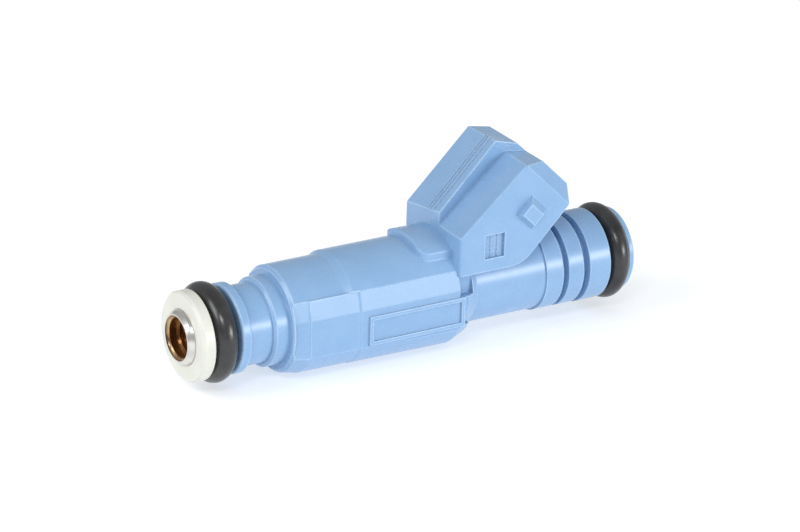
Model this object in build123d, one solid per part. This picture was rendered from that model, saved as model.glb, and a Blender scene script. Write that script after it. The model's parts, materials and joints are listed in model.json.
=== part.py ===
from build123d import *

import os
from math import cos, radians, sin

# Top-feed petrol fuel injector, built from the pieces that it comes apart into.
# Frame: origin on the valve axis at the nozzle tip, +X along the axis to the fuel inlet,
# +Z up on the side of the electrical socket, +Y across. All lengths are in millimetres.

# ---- seals ----
# Each: centre station, outer radius, section radius.
LOWER_SEAL = (4.80, 7.15, 1.70)
UPPER_SEAL = (69.55, 7.05, 1.48)

# ---- stations of the moulded body along the axis ----
COLLAR_X = (7.00, 8.50)
RING_X = (12.05, 14.50)
BODY_X = (14.50, 41.15)
SWELL_X = (23.10, 24.10)
TAPER_X = (42.60, 44.90)
STEP_X = 56.55
CLIP_GROOVES_X = ((59.40, 60.35), (62.90, 63.90))
SEAL_GROOVE_X = (67.60, 71.05)
LENGTH = 71.95

# ---- radii and half widths of the moulded body ----
COLLAR_R = 6.45
FRONT_NECK_R = 5.75
RING_R = 6.40
SLIM_R = 7.65
BODY_R = 8.10
UNDER_R = ((14.95, 7.65), (17.20, 8.15), (25.00, 8.22), (25.40, 8.32), (41.15, 8.50), (43.40, 7.60))
REAR_NECK_R = 6.25
CLIP_RING_R = 6.50
LAST_RING_R = 6.60
CLIP_FLOOR_R = 5.30
END_DISC_R = 6.10
FLAT_Y = 7.40
FLAT_Z = (-3.70, 1.75, 4.60)
FLAT_LEAN = 0.75
# Half width across the flats at each station: lead-in, part in front of the swell, part behind it.
FLAT_WIDTHS = ((14.80, 6.88), (17.05, 7.08), (17.25, 7.26), (25.00, 7.26), (25.30, FLAT_Y), (42.30, FLAT_Y))
TOP_BAND_X = 36.00
TOP_BAND_R = 9.00
TOP_BAND_Y = 5.20
EDGE = 0.20

# ---- metal valve group ----
TUBE_R = LOWER_SEAL[1] - 2 * LOWER_SEAL[2]
TIP_R = (3.45, 3.95)
CAP_X = (0.95, 2.75)
CAP_R = 6.45
CAP_LIP_X = 1.95
BORE_R = 3.25
STEM_BORE_R = 2.40
ARMATURE_R = 3.00
RUNNING_GAP = 0.05
HOUSING_X = (16.00, 37.00)
HOUSING_R = (6.05, 6.60)
WASHER_T = 1.20
RING_WELD_X = (24.00, 28.50)
SEAT_X = (4.25, 8.00)
DISC_T = 0.25
BALL_R = 1.60
CONE_R = 0.75
CONE_X = 4.90
SEAT_GAP = 0.01
# The ball stands clear of the 90 degree cone by SEAT_GAP, measured square to the cone.
BALL_X = CONE_X - CONE_R + (BALL_R + SEAT_GAP) * 2 ** 0.5
GUIDE_R = BALL_R + 0.06
STEM_R = (0.55, 1.05)
STEM_END_X = 20.50
ARMATURE_X = (19.00, 27.00)
LIFT = 0.10
SPRING_POCKET_X = 21.50
SPRING_POCKET_R = 1.60
SPRING_R = 1.25
SPRING_WIRE_R = 0.22
SPRING_TURNS = 9
SLEEVE_X = (34.05, 41.00)
CORE_X = (ARMATURE_X[1] + LIFT + 0.02, 71.70)
CORE_BORE_R = 1.65
INLET_R = 3.05
INLET_BORE_R = 2.65
INLET_BORE_X = 60.00

# ---- coil ----
BOBBIN_X = (HOUSING_X[0] + WASHER_T, HOUSING_X[1] - WASHER_T)
BOBBIN_R = (TUBE_R, 4.45, 6.02)
FLANGE_T = 1.00
WINDING_R = 5.75

# ---- electrical socket, in the slanted directions "along" (out of the mouth) and "across" ----
SOCKET_ANGLE = radians(46)
SOCKET_WALL_X = BODY_X[1]
SOCKET_UNDER_Z = 3.90
SOCKET_HEEL_Z = 9.60
SHOULDER_ALONG = 49.50
MOUTH_ALONG = 51.65
BACK_ACROSS = 24.00
FRONT_ACROSS = 34.40
MID_ACROSS = 29.80
LIP_ACROSS = (26.90, 32.85)
LIP_Y = 5.95
UNDER_ARC_R = 5.00
SPLIT_Y = -1.40
RIDGE_HEEL_Z = (11.60, 10.15)
RIDGE_ACROSS = (21.55, 22.90)
RIDGE_SHOULDER_ALONG = 49.80
RIDGE_LIP_ACROSS = 24.85
SOCKET_EDGE = 0.50
RIDGE_RIBS_Y = (0.20, 1.10, 1.75)
BUMP_HEIGHT = 1.15
BUMP_BASE = ((43.20, 46.90), (28.00, 31.70))
BUMP_TOP = ((43.80, 45.80), (28.20, 30.90))
GRID_CORNER = (45.20, 5.85)
GRID_CELL = (1.00, 0.64)
GRID_RIB = 0.09
CAVITY_Y = 5.30
CAVITY_ACROSS = 2.65
CAVITY_FLOOR = 39.85
BLADE_Y = 2.50
BLADE_W = 2.80
BLADE_T = 0.80
BLADE_TIP = 45.60
FOOT_X = 38.20
FOOT_Z = (4.20, 5.80)
WIRE_R = 0.30
WIRE_Z = 5.00

# ---- inlet strainer ----
SCREEN_X = (61.80, 69.80)
SCREEN_R = (1.95, 2.05)


def socket_point(along, across):
    """Position (x, z) of a point given in the socket's slanted directions."""
    x = along * cos(SOCKET_ANGLE) + across * sin(SOCKET_ANGLE)
    z = along * sin(SOCKET_ANGLE) - across * cos(SOCKET_ANGLE)
    return x, z


def turned(outline):
    """Solid of revolution about the axis from a closed (x, r) outline."""
    edges = Polyline(*[(x, 0, r) for x, r in outline], close=True)
    return revolve(make_face(edges), Axis.X)


def tube(x0, x1, outer_r, inner_r=0.0):
    """Plain turned tube or rod between two stations."""
    return turned([(x0, inner_r), (x1, inner_r), (x1, outer_r), (x0, outer_r)])


def block(x, y, z):
    """Box from three (low, high) pairs."""
    size = [high - low for low, high in (x, y, z)]
    middle = [(high + low) / 2 for low, high in (x, y, z)]
    return Pos(*middle) * Box(*size)


def prism(outline, y0, y1):
    """Straight solid across Y from a closed (x, z) outline."""
    edges = Polyline(*[(x, y0, z) for x, z in outline], close=True)
    return extrude(make_face(edges), amount=y1 - y0, dir=(0, 1, 0))


def slanted_face(along, corners):
    """Flat face square to the socket's direction, from (across, y) corners."""
    points = []
    for across, y in corners:
        x, z = socket_point(along, across)
        points.append((x, y, z))
    return make_face(Polyline(*points, close=True))


def rectangle(first, second):
    """Corners of a rectangle from the (low, high) range of each of its two directions."""
    return [(first[0], second[0]), (first[1], second[0]), (first[1], second[1]), (first[0], second[1])]


def edges_between(solid, places):
    """Straight edges of a solid that run from one (x, z) to another, at any y."""
    chosen = []
    for start, end in places:
        middle = ((start[0] + end[0]) / 2, (start[1] + end[1]) / 2)
        for edge in solid.edges():
            centre = edge.center()
            if abs(centre.X - middle[0]) + abs(centre.Z - middle[1]) < 0.01:
                chosen.append(edge)
    return chosen


# ---- moulded body ----

def body_of_revolution():
    """Round outside of the moulding, without its bore."""
    outline = [(COLLAR_X[0], 0), (COLLAR_X[0], COLLAR_R - EDGE), (COLLAR_X[0] + EDGE, COLLAR_R)]
    outline += [(COLLAR_X[1] - EDGE, COLLAR_R), (COLLAR_X[1], COLLAR_R - EDGE)]
    outline += [(COLLAR_X[1], FRONT_NECK_R), (RING_X[0], FRONT_NECK_R)]
    outline += [(RING_X[0], RING_R - 0.35), (RING_X[0] + 0.35, RING_R), (RING_X[1], RING_R)]
    outline += [(BODY_X[0], SLIM_R - 0.45), (BODY_X[0] + 0.45, SLIM_R)]
    outline += [(SWELL_X[0], SLIM_R), (SWELL_X[1], BODY_R), (BODY_X[1], BODY_R)]
    outline += [(TAPER_X[0], BODY_R - 0.5), (TAPER_X[1], REAR_NECK_R)]
    outline += [(STEP_X, REAR_NECK_R), (STEP_X, CLIP_RING_R)]
    ring_r = CLIP_RING_R
    for low, high in CLIP_GROOVES_X:
        next_r = CLIP_RING_R if low == CLIP_GROOVES_X[0][0] else LAST_RING_R
        outline += [(low, ring_r), (low, CLIP_FLOOR_R), (high, CLIP_FLOOR_R), (high, next_r)]
        ring_r = next_r
    outline += [(SEAL_GROOVE_X[0] - EDGE, LAST_RING_R), (SEAL_GROOVE_X[0], LAST_RING_R - EDGE)]
    floor_r = UPPER_SEAL[1] - 2 * UPPER_SEAL[2]
    outline += [(SEAL_GROOVE_X[0], floor_r), (SEAL_GROOVE_X[1], floor_r)]
    outline += [(SEAL_GROOVE_X[1], END_DISC_R - 0.10), (SEAL_GROOVE_X[1] + 0.10, END_DISC_R)]
    outline += [(LENGTH - 0.25, END_DISC_R), (LENGTH, END_DISC_R - 0.25), (LENGTH, 0)]
    return turned(outline)


def rounded_under():
    """Lower half of the body, a little wider than the upper half and growing towards the rear."""
    outline = [(UNDER_R[0][0], 0), *UNDER_R, (UNDER_R[-1][0], 0)]
    return turned(outline) & block((BODY_X[0], TAPER_X[1]), (-BODY_R, BODY_R), (-9, FLAT_Z[0]))


def flat_section(x, half_y):
    """Section across the flat sides; the upper strip of each leans in."""
    right = [(half_y, FLAT_Z[0]), (half_y, FLAT_Z[1]), (half_y - FLAT_LEAN, FLAT_Z[2])]
    left = [(-y, z) for y, z in reversed(right)]
    return make_face(Polyline(*[(x, y, z) for y, z in right + left], close=True))


def side_flats():
    """Flat sides with a tapered lead-in, narrower in front of the swell."""
    return loft([flat_section(x, half_y) for x, half_y in FLAT_WIDTHS], ruled=True)


def beyond_flats(side):
    """Everything outside one flat side and its leaning strip, to be cut off the round body."""
    sections = []
    for x, half_y in (*FLAT_WIDTHS, (TAPER_X[1], FLAT_Y)):
        outline = [(half_y, -10), (half_y, FLAT_Z[1]), (half_y - FLAT_LEAN, FLAT_Z[2])]
        outline += [(12, FLAT_Z[2]), (12, -10)]
        sections.append(make_face(Polyline(*[(x, side * y, z) for y, z in outline], close=True)))
    return loft(sections, ruled=True)


def socket_shell():
    """Slanted block of the socket with its chamfered mouth; the far part of its back stands proud."""
    heel = (SOCKET_WALL_X, SOCKET_HEEL_Z)
    back = socket_point(SHOULDER_ALONG, BACK_ACROSS)
    front = socket_point(SHOULDER_ALONG, FRONT_ACROSS)
    # The underside runs level, then turns up in an arc that ends along the socket's front face.
    turn_z = SOCKET_UNDER_Z + UNDER_ARC_R * (1 - cos(SOCKET_ANGLE))
    front_foot = front[0] - (front[1] - turn_z) * cos(SOCKET_ANGLE) / sin(SOCKET_ANGLE)
    turn = (front_foot, turn_z)
    level = (turn[0] - UNDER_ARC_R * sin(SOCKET_ANGLE), SOCKET_UNDER_Z)
    middle = SOCKET_ANGLE / 2
    arc_mid = (level[0] + UNDER_ARC_R * sin(middle), SOCKET_UNDER_Z + UNDER_ARC_R * (1 - cos(middle)))
    y0 = -FLAT_Y
    corners = [(x, y0, z) for x, z in (turn, front, back, heel, (SOCKET_WALL_X, SOCKET_UNDER_Z), level)]
    under = ThreePointArc(corners[-1], (arc_mid[0], y0, arc_mid[1]), corners[0])
    side = make_face(Wire([*Polyline(*corners).edges(), under]))
    shell = extrude(side, amount=2 * FLAT_Y, dir=(0, 1, 0))
    wall = (SOCKET_WALL_X, SOCKET_UNDER_Z)
    shell = fillet(edges_between(shell, ((wall, heel), (heel, back))), SOCKET_EDGE)
    shoulder = slanted_face(SHOULDER_ALONG, rectangle((BACK_ACROSS, FRONT_ACROSS), (-FLAT_Y, FLAT_Y)))
    shell += loft([shoulder, slanted_face(MOUTH_ALONG, rectangle(LIP_ACROSS, (-LIP_Y, LIP_Y)))])
    shell += ridge()
    for y in RIDGE_RIBS_Y:
        shell += ridge_rib(y)
    return shell


def ridge():
    """Far part of the socket's back, which stands proud and falls away towards the far side."""
    sections = []
    for y, heel_z, across in zip((SPLIT_Y, FLAT_Y), RIDGE_HEEL_Z, RIDGE_ACROSS):
        corners = [(SOCKET_WALL_X, SOCKET_UNDER_Z + 1), (SOCKET_WALL_X, heel_z)]
        corners += [socket_point(RIDGE_SHOULDER_ALONG, across)]
        corners += [socket_point(RIDGE_SHOULDER_ALONG, FRONT_ACROSS - 1)]
        sections.append(make_face(Polyline(*[(x, y, z) for x, z in corners], close=True)))
    near, far = RIDGE_ACROSS
    front = FRONT_ACROSS - 1
    shoulder = [(near, SPLIT_Y), (front, SPLIT_Y), (front, FLAT_Y), (far, FLAT_Y)]
    lip = rectangle((RIDGE_LIP_ACROSS, LIP_ACROSS[1] - 1), (SPLIT_Y, LIP_Y))
    chamfer = loft([slanted_face(RIDGE_SHOULDER_ALONG, shoulder), slanted_face(MOUTH_ALONG, lip)])
    return loft(sections) + chamfer


def ridge_rib(y):
    """Hair-fine rib that runs up the ridge beside its edge."""
    part = (y - SPLIT_Y) / (FLAT_Y - SPLIT_Y)
    heel_z = RIDGE_HEEL_Z[0] + part * (RIDGE_HEEL_Z[1] - RIDGE_HEEL_Z[0])
    across = RIDGE_ACROSS[0] + part * (RIDGE_ACROSS[1] - RIDGE_ACROSS[0])
    outline = [(SOCKET_WALL_X, heel_z - 1), (SOCKET_WALL_X, heel_z + 0.14)]
    outline += [socket_point(RIDGE_SHOULDER_ALONG, across - 0.10)]
    outline += [socket_point(RIDGE_SHOULDER_ALONG, across + 1)]
    return prism(outline, y, y + 0.16)


def latch_bump(side):
    """Flat-topped bump on the socket's side that holds the plug's wire clip."""
    faces = []
    for ranges, y in ((BUMP_BASE, side * (FLAT_Y - 0.01)), (BUMP_TOP, side * (FLAT_Y + BUMP_HEIGHT))):
        corners = [socket_point(along, across) for along, across in rectangle(*ranges)]
        faces.append(make_face(Polyline(*[(x, y, z) for x, z in corners], close=True)))
    return loft(faces)


def top_band():
    """Round band that stands proud of the body's top in front of the socket."""
    window = block((TOP_BAND_X, SOCKET_WALL_X + 0.5), (-TOP_BAND_Y, TOP_BAND_Y), (5, TOP_BAND_R + 1))
    window = fillet(window.edges().filter_by(Axis.Z).group_by(Axis.X)[0], 1.5)
    band = window & tube(TOP_BAND_X - 1, SOCKET_WALL_X + 2, TOP_BAND_R)
    crown = band.faces().sort_by(Axis.Z)[-1]
    return fillet([edge for edge in crown.edges() if edge.center().X < SOCKET_WALL_X], 0.30)


def label_frame():
    """Raised rectangular frame with a blank panel on one side flat."""
    outer = block((26.50, 42.10), (-FLAT_Y - 0.28, -FLAT_Y + 0.2), (-3.60, 0.80))
    inner = block((27.10, 41.50), (-FLAT_Y - 0.40, -FLAT_Y + 0.3), (-3.00, 0.20))
    return outer - inner


def date_grid():
    """Sunk window on the socket's side with low ribs that leave three by five cells on its floor."""
    x0, z0 = GRID_CORNER
    cell_x, cell_z = GRID_CELL
    width = (x0, x0 + 3 * cell_x + 2 * GRID_RIB)
    height = (z0, z0 + 5 * cell_z + 4 * GRID_RIB)
    cuts = [block(width, (-FLAT_Y - 0.1, -FLAT_Y + 0.36), height)]
    for column in range(3):
        for row in range(5):
            x = x0 + column * (cell_x + GRID_RIB)
            z = z0 + row * (cell_z + GRID_RIB)
            cuts.append(block((x, x + cell_x), (-FLAT_Y - 0.1, -FLAT_Y + 0.44), (z, z + cell_z)))
    return cuts


def side_pocket():
    """Small recess where the side flat runs out under the socket."""
    return block((41.35, 43.80), (-9, -6.15), (0.80, SOCKET_UNDER_Z))


def socket_cavity():
    """Space that the plug enters."""
    corners = rectangle((MID_ACROSS - CAVITY_ACROSS, MID_ACROSS + CAVITY_ACROSS), (-CAVITY_Y, CAVITY_Y))
    floor = slanted_face(CAVITY_FLOOR, corners)
    mouth = slanted_face(MOUTH_ALONG + 1, corners)
    return loft([floor, mouth])


def overmould_body(fixed_metal):
    bore = tube(COLLAR_X[0] - 1, HOUSING_X[0] + 1, TUBE_R)
    bore += tube(HOUSING_X[0], HOUSING_X[1], HOUSING_R[1])
    bore += tube(HOUSING_X[1] - 1, LENGTH + 1, INLET_R)
    body = body_of_revolution() + rounded_under()
    for side in (-1, 1):
        body -= beyond_flats(side)
    body += side_flats()
    body += top_band()
    body += socket_shell()
    body -= side_pocket()
    for side in (-1, 1):
        body += latch_bump(side)
    body += label_frame()
    body -= date_grid()
    body -= socket_cavity()
    body -= bore
    for piece in fixed_metal:
        body -= piece
    return body


# ---- nozzle end ----

def o_ring(x, outer_r, section_r):
    return Pos(x, 0, 0) * Rot(0, 90, 0) * Torus(outer_r - section_r, section_r)


def nozzle_cap():
    """Cap with a bevelled front and a lip that snaps behind the bevelled end of the tube."""
    outline = [(CAP_X[0], TIP_R[1] + 0.03), (CAP_X[0], CAP_R - 0.35), (CAP_X[0] + 0.35, CAP_R)]
    outline += [(CAP_X[1], CAP_R), (CAP_X[1], TUBE_R), (CAP_LIP_X, TUBE_R), (CAP_LIP_X, TIP_R[1] + 0.03)]
    return turned(outline)


def nozzle_body():
    """Steel valve tube: bevelled end, seat bore, stem bore and armature bore."""
    outline = [(0, TIP_R[0]), (0.55, TIP_R[1] - 0.12), (0.85, TIP_R[1]), (CAP_LIP_X - 0.03, TIP_R[1])]
    outline += [(CAP_LIP_X - 0.03, TUBE_R), (RING_WELD_X[0], TUBE_R)]
    outline += [(RING_WELD_X[0], ARMATURE_R + RUNNING_GAP), (18.0, ARMATURE_R + RUNNING_GAP)]
    outline += [(18.0, STEM_BORE_R), (SEAT_X[1], STEM_BORE_R), (SEAT_X[1], BORE_R), (0, BORE_R)]
    return turned(outline)


def disc_retainer():
    """Stepped sleeve that keeps the orifice disc on the seat."""
    end = SEAT_X[0] - DISC_T
    return turned([(0.30, BORE_R), (0.30, 3.05), (0.45, 2.85), (1.80, 2.85), (1.80, 2.40), (2.70, 2.40),
                   (2.70, 1.80), (end, 1.80), (end, BORE_R)])


def orifice_disc():
    disc = tube(SEAT_X[0] - DISC_T, SEAT_X[0], BORE_R)
    for y in (-0.35, 0.35):
        for z in (-0.35, 0.35):
            disc -= Pos(SEAT_X[0] - DISC_T / 2, y, z) * Rot(0, 90, 0) * Cylinder(0.14, 1)
    return disc


def valve_seat():
    """Seat with a 90 degree cone that opens into the ball's guide bore."""
    cone_end = CONE_X + GUIDE_R - CONE_R
    return turned([(SEAT_X[0], CONE_R), (CONE_X, CONE_R), (cone_end, GUIDE_R), (SEAT_X[1], GUIDE_R),
                   (SEAT_X[1], BORE_R), (SEAT_X[0], BORE_R)])


def valve_ball():
    return Pos(BALL_X, 0, 0) * Sphere(BALL_R)


def needle_tube():
    """Hollow stem, hollowed in front to sit on the ball, with cross holes for the fuel."""
    inner_r, outer_r = STEM_R
    seat_x = [BALL_X + (BALL_R ** 2 - r ** 2) ** 0.5 for r in (inner_r, sum(STEM_R) / 2, outer_r)]
    seat = ThreePointArc((seat_x[2], 0, outer_r), (seat_x[1], 0, sum(STEM_R) / 2), (seat_x[0], 0, inner_r))
    sides = Polyline((seat_x[0], 0, inner_r), (STEM_END_X, 0, inner_r), (STEM_END_X, 0, outer_r),
                     (seat_x[2], 0, outer_r))
    stem = revolve(make_face(Wire([*sides.edges(), seat])), Axis.X)
    for x in (10.5, 13.5):
        stem -= Pos(x, 0, 0) * Cylinder(0.40, 4)
    return stem


def armature():
    """Plunger with the stem pressed in its front and a pocket for the spring in its back."""
    bore = STEM_R[1]
    return turned([(ARMATURE_X[0], bore), (STEM_END_X, bore), (STEM_END_X, 0.80),
                   (SPRING_POCKET_X, 0.80), (SPRING_POCKET_X, SPRING_POCKET_R),
                   (ARMATURE_X[1], SPRING_POCKET_R), (ARMATURE_X[1], ARMATURE_R - 0.15),
                   (ARMATURE_X[1] - 0.15, ARMATURE_R), (ARMATURE_X[0] + 0.15, ARMATURE_R),
                   (ARMATURE_X[0], ARMATURE_R - 0.15)])


def return_spring():
    """Round wire coiled between the armature's pocket and the adjusting sleeve."""
    clearance = 0.03
    start = SPRING_POCKET_X + SPRING_WIRE_R + LIFT + clearance
    height = SLEEVE_X[0] - SPRING_WIRE_R - clearance - start
    path = Helix(height / SPRING_TURNS, height, SPRING_R, center=(start, 0, 0), direction=(1, 0, 0))
    section = Plane(origin=path @ 0, z_dir=path % 0) * Circle(SPRING_WIRE_R)
    return sweep(section, path)


def adjusting_sleeve():
    """Split sleeve, held in the core's bore by its own spring."""
    sleeve = tube(SLEEVE_X[0], SLEEVE_X[1], CORE_BORE_R, 1.05)
    return sleeve - block((SLEEVE_X[0] - 1, SLEEVE_X[1] + 1), (-0.2, 0.2), (0, 3))


# ---- magnetic circuit ----

def nonmagnetic_ring():
    return tube(RING_WELD_X[0], RING_WELD_X[1], TUBE_R, ARMATURE_R + RUNNING_GAP)


def inlet_core():
    """Pole piece in front, fuel inlet tube behind, with a wider bore for the strainer."""
    return turned([(CORE_X[0], CORE_BORE_R), (45.0, CORE_BORE_R), (45.6, 2.2), (INLET_BORE_X, 2.2),
                   (INLET_BORE_X, INLET_BORE_R), (CORE_X[1], INLET_BORE_R), (CORE_X[1], INLET_R),
                   (HOUSING_X[1], INLET_R), (HOUSING_X[1], TUBE_R), (RING_WELD_X[1], TUBE_R),
                   (RING_WELD_X[1], ARMATURE_R + RUNNING_GAP), (CORE_X[0], ARMATURE_R + RUNNING_GAP)])


def magnet_housing():
    return tube(HOUSING_X[0], HOUSING_X[1], HOUSING_R[1], HOUSING_R[0])


def front_pole_washer():
    return tube(HOUSING_X[0], BOBBIN_X[0], HOUSING_R[0], TUBE_R)


def lead_holes():
    """Holes for the two lead wires through the bobbin's flange and the rear washer."""
    return [lead_wire(side) for side in (-1, 1)]


def rear_pole_washer():
    return tube(BOBBIN_X[1], HOUSING_X[1], HOUSING_R[0], TUBE_R) - lead_holes()


def coil_bobbin():
    inner, barrel, flange = BOBBIN_R
    outline = [(BOBBIN_X[0], inner), (BOBBIN_X[0], flange), (BOBBIN_X[0] + FLANGE_T, flange)]
    outline += [(BOBBIN_X[0] + FLANGE_T, barrel), (BOBBIN_X[1] - FLANGE_T, barrel)]
    outline += [(BOBBIN_X[1] - FLANGE_T, flange), (BOBBIN_X[1], flange), (BOBBIN_X[1], inner)]
    return turned(outline) - lead_holes()


def coil_winding():
    return tube(BOBBIN_X[0] + FLANGE_T, BOBBIN_X[1] - FLANGE_T, WINDING_R, BOBBIN_R[1])


# ---- terminals ----

def lead_wire(side):
    start = BOBBIN_X[1] - FLANGE_T
    length = FOOT_X - start
    return Pos(start + length / 2, side * BLADE_Y, WIRE_Z) * Rot(0, 90, 0) * Cylinder(WIRE_R, length)


def terminal(side):
    """Blade in the socket and a foot that runs down to the coil, punched from one strip."""
    low = MID_ACROSS - BLADE_W / 2
    high = MID_ACROSS + BLADE_W / 2
    tip = 0.40
    root = 37.80
    y0 = side * BLADE_Y - BLADE_T / 2
    blade_points = [socket_point(root, low), socket_point(BLADE_TIP - tip, low)]
    blade_points += [socket_point(BLADE_TIP, low + tip), socket_point(BLADE_TIP, high - tip)]
    blade_points += [socket_point(BLADE_TIP - tip, high), socket_point(root, high)]
    blade = prism(blade_points, y0, y0 + BLADE_T)
    heel = socket_point(root + 0.2, high)
    toe = socket_point(root + 0.2, low)
    foot_points = [(FOOT_X, FOOT_Z[0]), (heel[0] - 0.6, FOOT_Z[0]), heel, toe, (toe[0] - 1.2, FOOT_Z[1])]
    foot_points += [(FOOT_X, FOOT_Z[1])]
    return blade + prism(foot_points, y0, y0 + BLADE_T)


# ---- inlet strainer ----

def filter_cage():
    """Closed foot, open top ring and four ribs outside the screen."""
    cage = tube(60.9, SCREEN_X[0], 2.40)
    cage += tube(SCREEN_X[1], 70.4, 2.62, 1.60)
    for angle in range(45, 360, 90):
        y = 2.22 * cos(radians(angle))
        z = 2.22 * sin(radians(angle))
        rib = Pos((SCREEN_X[0] + SCREEN_X[1]) / 2, y, z) * Rot(angle, 0, 0)
        cage += rib * Box(SCREEN_X[1] - SCREEN_X[0] + 0.2, 0.32, 0.50)
    return cage - filter_screen()


def filter_screen():
    return tube(SCREEN_X[0], SCREEN_X[1], SCREEN_R[1], SCREEN_R[0])


def filter_collar():
    """Pressed brass collar with a rounded lead-in."""
    return turned([(70.4, 1.70), (71.2, 1.70), (71.5, 2.00), (71.5, INLET_BORE_R), (70.4, INLET_BORE_R)])


def build():
    """Every piece by node name."""
    terminals = {"left": terminal(-1), "right": terminal(1)}
    wires = {"left": lead_wire(-1), "right": lead_wire(1)}
    parts = {
        "overmould_body": overmould_body([*terminals.values(), *wires.values()]),
        "nozzle_cap": nozzle_cap(),
        "lower_o_ring": o_ring(*LOWER_SEAL),
        "upper_o_ring": o_ring(*UPPER_SEAL),
        "nozzle_body": nozzle_body(),
        "disc_retainer": disc_retainer(),
        "orifice_disc": orifice_disc(),
        "valve_seat": valve_seat(),
        "valve_ball": valve_ball(),
        "needle_tube": needle_tube(),
        "armature": armature(),
        "return_spring": return_spring(),
        "adjusting_sleeve": adjusting_sleeve(),
        "nonmagnetic_ring": nonmagnetic_ring(),
        "inlet_core": inlet_core(),
        "magnet_housing": magnet_housing(),
        "front_pole_washer": front_pole_washer(),
        "rear_pole_washer": rear_pole_washer(),
        "coil_bobbin": coil_bobbin(),
        "coil_winding": coil_winding(),
        "filter_cage": filter_cage(),
        "filter_screen": filter_screen(),
        "filter_collar": filter_collar(),
    }
    for name in ("left", "right"):
        parts["terminal_" + name] = terminals[name]
        parts["lead_wire_" + name] = wires[name]
    return parts


os.makedirs("parts", exist_ok=True)
for node, piece in build().items():
    export_step(piece, "parts/" + node + ".step")
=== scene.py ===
"""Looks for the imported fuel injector: materials, floor, light and camera.

Everything is in metres in the CAD frame: +X along the valve axis to the fuel inlet, +Z up on the
socket's side. Every CAD node keeps its own mesh.
"""

import json
from math import cos, radians, sin

import bpy
from mathutils import Matrix, Vector


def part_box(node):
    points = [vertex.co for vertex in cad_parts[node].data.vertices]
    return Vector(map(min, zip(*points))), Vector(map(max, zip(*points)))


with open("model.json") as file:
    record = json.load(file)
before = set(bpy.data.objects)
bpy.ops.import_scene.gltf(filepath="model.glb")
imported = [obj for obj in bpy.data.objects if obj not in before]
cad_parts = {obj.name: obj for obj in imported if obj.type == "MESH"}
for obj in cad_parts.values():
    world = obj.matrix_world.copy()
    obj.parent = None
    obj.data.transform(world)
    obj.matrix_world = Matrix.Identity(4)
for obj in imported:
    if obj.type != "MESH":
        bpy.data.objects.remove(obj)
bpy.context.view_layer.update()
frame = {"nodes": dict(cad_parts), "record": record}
MM = 0.001
MOULD_EDGE = 0.30 * MM
# Width of the painted highlight along the outward moulded edges.
EDGE_HIGHLIGHT_RADIUS = 0.35 * MM
EDGE_SAMPLES = 6


# ---- node helpers ----

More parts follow.
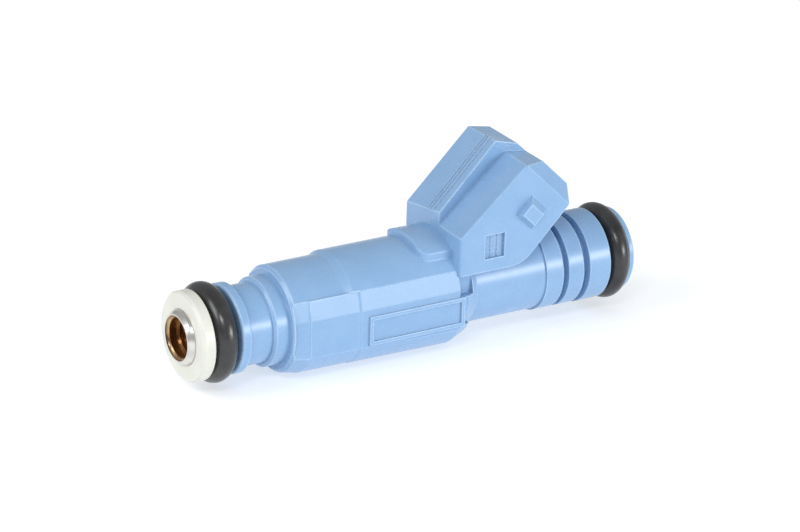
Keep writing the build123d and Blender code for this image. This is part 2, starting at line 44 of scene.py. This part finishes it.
class Shader:
    """A material with one Principled shader, and short calls for the nodes that feed it."""

    def __init__(self, name, **sockets):
        self.material = bpy.data.materials.new(name)
        self.material.use_nodes = True
        self.tree = self.material.node_tree
        self.surface = self.tree.nodes["Principled BSDF"]
        for socket, value in sockets.items():
            self.surface.inputs[socket.replace("_", " ")].default_value = value
        self.position = self.add("ShaderNodeTexCoord").outputs["Object"]

    def add(self, kind, **settings):
        node = self.tree.nodes.new(kind)
        for key, value in settings.items():
            setattr(node, key, value)
        return node

    def link(self, output, socket):
        self.tree.links.new(output, socket)

    def scaled(self, scale):
        """Object position, stretched by a factor along each axis."""
        mapping = self.add("ShaderNodeMapping")
        mapping.inputs["Scale"].default_value = scale
        self.link(self.position, mapping.inputs["Vector"])
        return mapping.outputs["Vector"]

    def noise(self, scale, detail=4.0, roughness=0.55, stretch=(1, 1, 1)):
        """Noise with features about 1 / scale metres across."""
        node = self.add("ShaderNodeTexNoise")
        node.inputs["Scale"].default_value = scale
        node.inputs["Detail"].default_value = detail
        node.inputs["Roughness"].default_value = roughness
        self.link(self.scaled(stretch), node.inputs["Vector"])
        return node.outputs["Fac"]

    def ramp(self, fac, stops):
        """Colour ramp from (place, colour) stops."""
        node = self.add("ShaderNodeValToRGB")
        elements = node.color_ramp.elements
        while len(elements) < len(stops):
            elements.new(0.5)
        for element, (place, colour) in zip(elements, stops):
            element.position = place
            element.color = (*colour, 1)
        self.link(fac, node.inputs["Fac"])
        return node.outputs["Color"]

    def spread(self, fac, low, high, start=0.0, end=1.0):
        """Maps a factor that goes from start to end to the numbers from low to high."""
        node = self.add("ShaderNodeMapRange")
        node.inputs["From Min"].default_value = start
        node.inputs["From Max"].default_value = end
        node.inputs["To Min"].default_value = low
        node.inputs["To Max"].default_value = high
        self.link(fac, node.inputs["Value"])
        return node.outputs["Result"]

    def bump(self, height, strength, distance, onto=None):
        """Normals tilted by a height, on top of other normals where they are given."""
        node = self.add("ShaderNodeBump")
        node.inputs["Strength"].default_value = strength
        node.inputs["Distance"].default_value = distance
        self.link(height, node.inputs["Height"])
        if onto is not None:
            self.link(onto, node.inputs["Normal"])
        return node.outputs["Normal"]

    def soft_edge(self, radius):
        """Normals rounded over every sharp edge, as a mould leaves them."""
        node = self.add("ShaderNodeBevel", samples=EDGE_SAMPLES)
        node.inputs["Radius"].default_value = radius
        return node.outputs["Normal"]

    def combine(self, operation, first, second):
        """Sum or product of two factors, kept within 0..1."""
        node = self.add("ShaderNodeMath", operation=operation, use_clamp=True)
        self.link(first, node.inputs[0])
        self.link(second, node.inputs[1])
        return node.outputs[0]

    def edge_highlight_mask(self, radius):
        """1 along the outward edges of a moulding and 0 on its faces and in its corners: the mask
        of the painted edge highlight.
        """
        turn = self.add("ShaderNodeVectorMath", operation="DOT_PRODUCT")
        self.link(self.soft_edge(radius), turn.inputs[0])
        self.link(self.add("ShaderNodeNewGeometry").outputs["Normal"], turn.inputs[1])
        edge = self.spread(turn.outputs["Value"], 0.0, 1.0, 0.99, 0.93)
        open_air = self.add("ShaderNodeAmbientOcclusion", samples=EDGE_SAMPLES, only_local=True)
        open_air.inputs["Distance"].default_value = 4 * radius
        clear = self.spread(open_air.outputs["AO"], 0.0, 1.0, 0.80, 0.95)
        return self.combine("MULTIPLY", edge, clear)

    def finish(self, colour, roughness, normal=None):
        """Feeds the shader and gives the finished material."""
        self.link(colour, self.surface.inputs["Base Color"])
        self.link(roughness, self.surface.inputs["Roughness"])
        if normal is not None:
            self.link(normal, self.surface.inputs["Normal"])
        return self.material


# ---- materials ----

def moulded_nylon(name, dark, light, edge_highlight, rough=(0.22, 0.32)):
    """Satin moulded plastic: faint clouds, fine grain, slight waviness, and a painted highlight
    along the outward edges.
    """
    s = Shader(name, Specular_IOR_Level=0.5)
    cloud = s.spread(s.noise(260, 3.0), 0.0, 0.50)
    # Painted highlight: the outward edges are lightened towards the third, palest ramp colour,
    # standing in for light caught on rounded edges.
    edge = s.spread(s.edge_highlight_mask(EDGE_HIGHLIGHT_RADIUS), 0.0, 0.50)
    colour = s.ramp(s.combine("ADD", cloud, edge), [(0.15, dark), (0.36, light), (0.85, edge_highlight)])
    roughness = s.spread(s.noise(900, 4.0), *rough)
    wave = s.bump(s.noise(420, 2.0), 0.05, 0.06 * MM, s.soft_edge(MOULD_EDGE))
    grain = s.bump(s.noise(9000, 3.0), 0.07, 0.01 * MM, wave)
    return s.finish(colour, roughness, grain)


def seal_rubber():
    """Dark grey elastomer with a satin skin, a soft bloom and tiny pits."""
    s = Shader("seal_rubber", Specular_IOR_Level=0.55)
    bloom = s.noise(340, 5.0)
    black, grey, dust = (0.010, 0.010, 0.011), (0.030, 0.030, 0.031), (0.062, 0.058, 0.054)
    colour = s.ramp(bloom, [(0.30, black), (0.62, grey), (0.85, dust)])
    roughness = s.spread(s.noise(1500, 5.0), 0.18, 0.34)
    pits = s.bump(s.noise(5200, 4.0), 0.18, 0.02 * MM)
    return s.finish(colour, roughness, pits)


def turned_metal(name, dark, light, rough=(0.16, 0.32)):
    """Lathe-turned metal: rings of fine tool marks about the X axis with slight stains."""
    s = Shader(name, Metallic=1.0)
    marks = s.noise(2600, 6.0, 0.7, (6, 0.05, 0.05))
    stain = s.noise(500, 4.0)
    colour = s.ramp(stain, [(0.25, dark), (0.75, light)])
    roughness = s.spread(marks, *rough)
    return s.finish(colour, roughness, s.bump(marks, 0.20, 0.008 * MM))


def wound_copper():
    """Enamelled wire laid side by side round the X axis."""
    s = Shader("copper", Metallic=1.0)
    wave = s.add("ShaderNodeTexWave", wave_type="BANDS", bands_direction="X")
    wave.inputs["Scale"].default_value = 900
    wave.inputs["Distortion"].default_value = 0.4
    s.link(s.position, wave.inputs["Vector"])
    colour = s.ramp(wave.outputs["Fac"], [(0.1, (0.28, 0.07, 0.02)), (0.8, (0.78, 0.30, 0.12))])
    roughness = s.spread(s.noise(800), 0.22, 0.36)
    return s.finish(colour, roughness, s.bump(wave.outputs["Fac"], 0.6, 0.08 * MM))


def woven_screen():
    """Fine square weave."""
    s = Shader("filter_mesh", Metallic=0.2)
    bands = []
    for direction in ("X", "DIAGONAL"):
        wave = s.add("ShaderNodeTexWave", wave_type="BANDS", bands_direction=direction)
        wave.inputs["Scale"].default_value = 1600
        s.link(s.position, wave.inputs["Vector"])
        bands.append(wave.outputs["Fac"])
    both = s.combine("MULTIPLY", *bands)
    colour = s.ramp(both, [(0.1, (0.12, 0.12, 0.11)), (0.7, (0.62, 0.60, 0.55))])
    roughness = s.spread(s.noise(900), 0.4, 0.6)
    return s.finish(colour, roughness, s.bump(both, 0.8, 0.05 * MM))


# The fourth argument of each moulded_nylon is the colour of its painted edge highlight.
MATERIALS = {
    "body_plastic": moulded_nylon(
        "body_plastic", (0.214, 0.374, 0.600), (0.238, 0.400, 0.632), (0.52, 0.72, 0.95)),
    "cap_plastic": moulded_nylon(
        "cap_plastic", (0.63, 0.64, 0.57), (0.70, 0.705, 0.645), (0.80, 0.80, 0.75), (0.28, 0.40)),
    "seal_rubber": seal_rubber(),
    "valve_steel": turned_metal("valve_steel", (0.55, 0.53, 0.50), (0.78, 0.76, 0.72)),
    "bronze": turned_metal("bronze", (0.20, 0.09, 0.04), (0.62, 0.44, 0.24), (0.18, 0.34)),
    "seat_steel": turned_metal("seat_steel", (0.50, 0.49, 0.48), (0.70, 0.69, 0.67), (0.08, 0.2)),
    "magnet_steel": turned_metal(
        "magnet_steel", (0.34, 0.34, 0.34), (0.52, 0.52, 0.51), (0.25, 0.4)),
    "spring_steel": turned_metal(
        "spring_steel", (0.38, 0.38, 0.39), (0.56, 0.56, 0.57), (0.2, 0.35)),
    "bobbin_plastic": moulded_nylon(
        "bobbin_plastic", (0.02, 0.02, 0.022), (0.04, 0.04, 0.042), (0.07, 0.07, 0.072)),
    "copper": wound_copper(),
    "tin_plate": turned_metal("tin_plate", (0.62, 0.62, 0.60), (0.80, 0.80, 0.78), (0.2, 0.34)),
    "filter_plastic": moulded_nylon(
        "filter_plastic", (0.66, 0.63, 0.52), (0.76, 0.73, 0.62), (0.80, 0.77, 0.68)),
    "filter_mesh": woven_screen(),
    "brass": turned_metal("brass", (0.55, 0.38, 0.14), (0.80, 0.62, 0.30)),
}


def paint_nodes():
    """Every CAD node gets the material of its slot in the record."""
    slots = {part["node"]: part["material_slot"] for part in frame["record"]["subparts"]}
    for node, obj in frame["nodes"].items():
        obj.data.materials.clear()
        obj.data.materials.append(MATERIALS[slots[node]])


# ---- floor, light, camera ----

FLOOR_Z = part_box("overmould_body")[0].z
AIM = Vector((35.9, 0, 3.8)) * MM
CAMERA_DISTANCE = 565.4 * MM
CAMERA_AZIMUTH = -31.1
CAMERA_ELEVATION = 20.1
LENS = 180
ROLL = radians(-3.3)


def floor():
    """Large sheet, softly lit from below like a light table."""
    mesh = bpy.data.meshes.new("floor")
    half = 3.0
    verts = [(x, y, FLOOR_Z) for y in (-half, half) for x in (-half, half)]
    mesh.from_pydata(verts, [], [(0, 1, 3, 2)])
    obj = bpy.data.objects.new("floor", mesh)
    bpy.context.scene.collection.objects.link(obj)
    s = Shader("floor", Specular_IOR_Level=0.1, Emission_Color=(0.98, 0.99, 1.0, 1),
               Emission_Strength=0.49)
    colour = s.ramp(s.noise(6, 2.0), [(0.3, (0.66, 0.67, 0.68)), (0.7, (0.68, 0.69, 0.70))])
    roughness = s.spread(s.noise(40), 0.85, 0.95)
    mesh.materials.append(s.finish(colour, roughness))


def direction(bearing, elevation):
    """Unit vector at a bearing from -Y towards +X and an elevation, both in degrees."""
    flat = cos(radians(elevation))
    x = sin(radians(bearing)) * flat
    y = -cos(radians(bearing)) * flat
    return Vector((x, y, sin(radians(elevation))))


def soft_box(name, bearing, elevation, distance, size, power):
    """Rectangular soft box that faces the object, placed by bearing from -Y and by elevation."""
    data = bpy.data.lights.new(name, "AREA")
    data.shape = "RECTANGLE"
    data.size, data.size_y = size
    data.energy = power
    obj = bpy.data.objects.new(name, data)
    bpy.context.scene.collection.objects.link(obj)
    side = direction(bearing, elevation)
    obj.location = AIM + side * distance
    obj.rotation_euler = side.to_track_quat("Z", "Y").to_euler()


def lights():
    world = bpy.data.worlds.new("studio")
    bpy.context.scene.world = world
    world.use_nodes = True
    background = world.node_tree.nodes["Background"]
    background.inputs["Color"].default_value = (0.97, 0.985, 1.0, 1)
    background.inputs["Strength"].default_value = 0.52
    soft_box("right_front", 31, 11, 0.90, (0.50, 0.22), 3.9)
    soft_box("left_end", -92, 34, 0.90, (0.50, 0.40), 3.2)
    soft_box("front", -40, 40, 0.90, (0.30, 0.12), 1.8)


def camera():
    data = bpy.data.cameras.new("camera")
    data.lens = LENS
    data.sensor_width = 36
    data.clip_start = 0.01
    obj = bpy.data.objects.new("camera", data)
    bpy.context.scene.collection.objects.link(obj)
    back = direction(CAMERA_AZIMUTH, CAMERA_ELEVATION)
    turned = back.to_track_quat("Z", "Y").to_matrix().to_4x4()
    upright = Matrix.Translation(AIM + back * CAMERA_DISTANCE) @ turned
    # The object lies rolled a little on the floor, so the camera goes round the X axis instead.
    obj.matrix_world = Matrix.Rotation(ROLL, 4, "X") @ upright
    bpy.context.scene.camera = obj


paint_nodes()
floor()
lights()
camera()
bpy.context.scene.view_settings.view_transform = "Standard"
